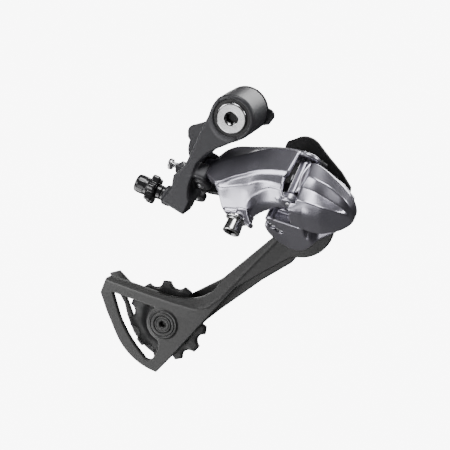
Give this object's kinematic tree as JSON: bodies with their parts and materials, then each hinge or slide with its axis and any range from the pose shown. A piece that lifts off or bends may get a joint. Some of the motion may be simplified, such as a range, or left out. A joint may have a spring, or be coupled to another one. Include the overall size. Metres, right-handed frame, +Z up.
{
  "type": "rear bicycle derailleur",
  "caption": "Rear bicycle derailleur: bolt-on bracket, slanted linkage, silver outer arm and rear body, long black cage with guide and tension pulleys, cable adjuster and clamp.",
  "frame": {"origin": "axis of the hanger bolt on the face that seats against the frame's hanger", "axes": "+X forward on the bicycle, +Y inboard towards the rear wheel, +Z up"},
  "size_m": [0.1449, 0.0547, 0.1579],
  "materials": {
    "steel_bright": "polished",
    "steel_plain": "satin",
    "bracket_black": "matt",
    "body_silver": "metallic satin",
    "cage_black": "satin",
    "plastic_black": "fine grain",
    "adjuster_black": "gloss",
    "bronze": "satin"
  },
  "bodies": {
    "hanger_fixings": {"b_axle_bolt": "steel_bright", "b_retaining_ring": "steel_plain", "b_stop_plate": "bracket_black"},
    "bracket": {"b_knuckle": "bracket_black", "b_bush": "plastic_black", "b_spring": "steel_plain", "b_outer_pin": "steel_plain", "b_inner_pin": "steel_plain", "return_spring": "steel_plain"},
    "tension_screw": {"b_tension_screw": "steel_bright"},
    "adjuster": {"cable_adjuster": "adjuster_black", "adjuster_bolt": "adjuster_black"},
    "outer_arm": {"outer_link": "body_silver", "cable_clamp_washer": "steel_bright"},
    "clamp_bolt": {"cable_clamp_bolt": "steel_bright"},
    "inner_arm": {"inner_link": "bracket_black"},
    "rear_body": {"p_body": "body_silver", "p_outer_pin": "steel_plain", "p_inner_pin": "steel_plain", "p_bush": "bronze", "p_circlip": "steel_plain", "p_spring": "steel_plain", "p_seal_ring": "plastic_black"},
    "limit_high": {"limit_screw_high": "steel_plain"},
    "limit_low": {"limit_screw_low": "steel_plain"},
    "cage": {"outer_plate": "cage_black", "inner_plate": "cage_black", "p_axle": "steel_plain", "cage_stop_pin": "steel_plain", "tension_pulley_bolt": "cage_black", "guide_pulley_bolt": "cage_black", "guide_bush": "steel_plain", "tension_bush": "steel_plain", "guide_dust_caps": "steel_plain", "tension_dust_caps": "steel_plain"},
    "guide_wheel": {"guide_pulley": "plastic_black"},
    "tension_wheel": {"tension_pulley": "plastic_black"}
  },
  "joints": [
    {"name": "bracket_pivot", "type": "hinge", "parent": "hanger_fixings", "child": "bracket", "pos_m": [0, 0, 0], "axis": [0, 1, 0], "range_deg": [0, 15], "stiffness_Nm_per_rad": 0.6, "springref_deg": -85.94},
    {"name": "outer_link_pivot", "type": "hinge", "parent": "bracket", "child": "outer_arm", "pos_m": [-0.0163, -0.0093, -0.0281], "axis": [0.1702, 0.6713, 0.7214], "range_deg": [0, 55], "stiffness_Nm_per_rad": 0.8, "springref_deg": -40.11},
    {"name": "inner_link_pivot", "type": "hinge", "parent": "bracket", "child": "inner_arm", "pos_m": [-0.02274, 0.00293, -0.03796], "axis": [0.1702, 0.6713, 0.7214], "range_deg": [0, 55]},
    {"name": "p_knuckle_pivot", "type": "hinge", "parent": "outer_arm", "child": "rear_body", "pos_m": [0.03468, -0.02266, -0.0277], "axis": [0.1702, 0.6713, 0.7214], "range_deg": [-55, 0]},
    {"name": "cage_pivot", "type": "hinge", "parent": "rear_body", "child": "cage", "pos_m": [0.02598, 0.00159, -0.057], "axis": [0, -1, 0], "range_deg": [0, 100], "stiffness_Nm_per_rad": 0.35, "springref_deg": -114.59},
    {"name": "guide_pulley_spin", "type": "hinge", "parent": "cage", "child": "guide_wheel", "pos_m": [0.02498, 0.01004, -0.045], "axis": [0, 1, 0], "continuous": true},
    {"name": "tension_pulley_spin", "type": "hinge", "parent": "cage", "child": "tension_wheel", "pos_m": [-0.04713, 0.01004, -0.11922], "axis": [0, 1, 0], "continuous": true},
    {"name": "cable_adjuster_turn", "type": "hinge", "parent": "bracket", "child": "adjuster", "pos_m": [-0.0523, -0.017, -0.0383], "axis": [0.9511, 0, -0.309], "continuous": true},
    {"name": "tension_screw_turn", "type": "hinge", "parent": "bracket", "child": "tension_screw", "pos_m": [-0.041, -0.002, -0.0314], "axis": [0.9877, 0, -0.1564], "continuous": true},
    {"name": "limit_high_turn", "type": "hinge", "parent": "rear_body", "child": "limit_high", "pos_m": [0.01819, -0.01703, -0.054], "axis": [0.1702, 0.6713, 0.7214], "continuous": true},
    {"name": "limit_low_turn", "type": "hinge", "parent": "rear_body", "child": "limit_low", "pos_m": [0.0214, -0.01466, -0.05696], "axis": [0.1702, 0.6713, 0.7214], "continuous": true},
    {"name": "clamp_bolt_turn", "type": "hinge", "parent": "outer_arm", "child": "clamp_bolt", "pos_m": [0.00287, -0.02278, -0.04974], "axis": [0.1702, 0.6713, 0.7214], "continuous": true}
  ],
  "couplings": [
    {"joint": "inner_link_pivot", "follows": "outer_link_pivot", "ratio": 1},
    {"joint": "p_knuckle_pivot", "follows": "outer_link_pivot", "ratio": -1}
  ]
}
